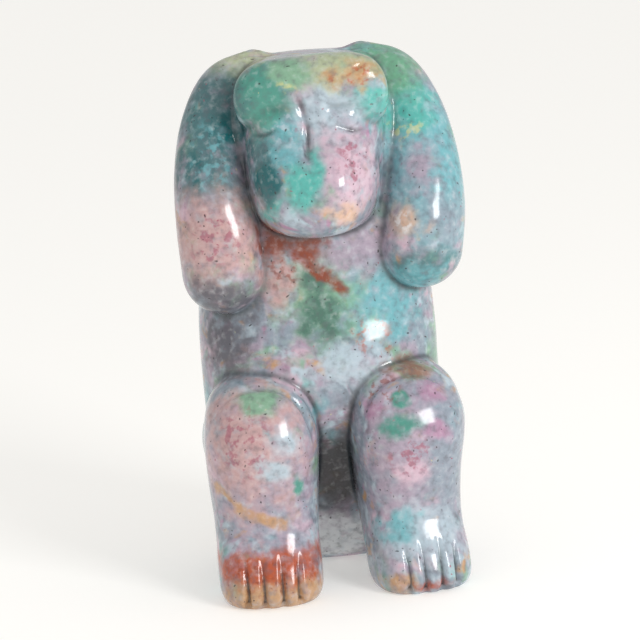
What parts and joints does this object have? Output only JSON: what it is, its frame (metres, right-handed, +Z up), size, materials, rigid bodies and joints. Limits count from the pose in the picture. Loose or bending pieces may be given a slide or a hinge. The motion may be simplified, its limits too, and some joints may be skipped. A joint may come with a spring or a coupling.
{
  "type": "carved stone monkey figure",
  "caption": "Small seated monkey carved from one piece of mottled polished hardstone, knees drawn up, arms raised with the hands over the head.",
  "frame": {"origin": "middle of the figure's underside, on the surface that it stands on", "axes": "+Z up, the figure faces -Y, +X to the right as seen from the front"},
  "size_m": [0.0278, 0.024, 0.0518],
  "materials": {
    "mottled_stone": "polished mottled hardstone, lilac grey with jade, turquoise, rose and rust patches and fine dark specks"
  },
  "bodies": {
    "root": {"stone_monkey": "mottled_stone"}
  },
  "joints": []
}
